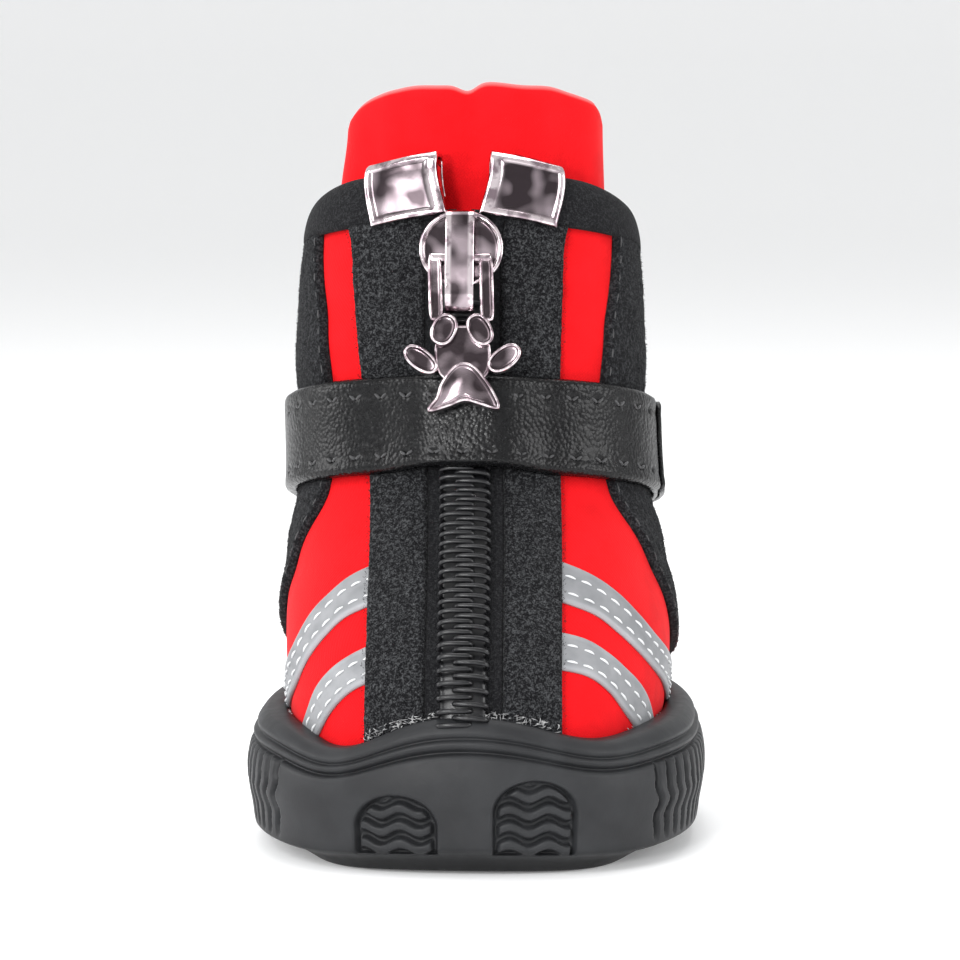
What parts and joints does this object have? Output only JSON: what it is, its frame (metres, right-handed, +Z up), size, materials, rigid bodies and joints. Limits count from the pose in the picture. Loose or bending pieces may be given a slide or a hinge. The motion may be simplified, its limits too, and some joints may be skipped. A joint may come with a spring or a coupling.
{
  "type": "dog boot",
  "caption": "Small dog boot: neoprene upper with a front coil zip and paw-shaped pull, ankle strap, inner sleeve and a moulded rubber cup sole.",
  "frame": {"origin": "on the floor under the middle of the sole", "axes": "+Z up, toe towards -Y, the boot's left side towards +X"},
  "size_m": [0.0544, 0.07, 0.089],
  "materials": {
    "neoprene": "knit-faced neoprene, matte",
    "black_knit": "loop knit and ribbed tape, matte",
    "black_leather": "pebbled grain with a soft shine",
    "zip_plastic": "satin nylon coil",
    "reflective": "reflective tape, satin",
    "silver_mesh": "silver mesh",
    "rubber": "moulded, soft sheen",
    "foam": "cloth-faced foam",
    "chrome": "plated, polished"
  },
  "bodies": {
    "boot": {"upper": "neoprene", "sleeve": "neoprene", "outsole": "rubber", "insole": "foam", "front_strip_right_side": "black_knit", "front_strip_left_side": "black_knit", "zip_tape_right_side": "black_knit", "zip_tape_left_side": "black_knit", "zip_coil": "zip_plastic", "stripe_upper_right_side": "reflective", "stripe_lower_right_side": "reflective", "stripe_upper_left_side": "reflective", "stripe_lower_left_side": "reflective", "side_band_right_side": "black_knit", "side_band_left_side": "black_knit", "back_panel": "silver_mesh", "binding": "black_knit", "end_tip_right_side": "chrome", "end_tip_left_side": "chrome", "ankle_strap": "black_leather", "strap_tail": "black_leather", "pull_loop": "black_knit", "zip_slider": "chrome"},
    "pull": {"pull_tab": "chrome"}
  },
  "joints": [
    {"name": "zip_pull_swing", "type": "hinge", "parent": "boot", "child": "pull", "pos_m": [-0.00171, -0.00976, 0.0688], "axis": [-1, 0, 0], "range_deg": [0, 140]}
  ]
}
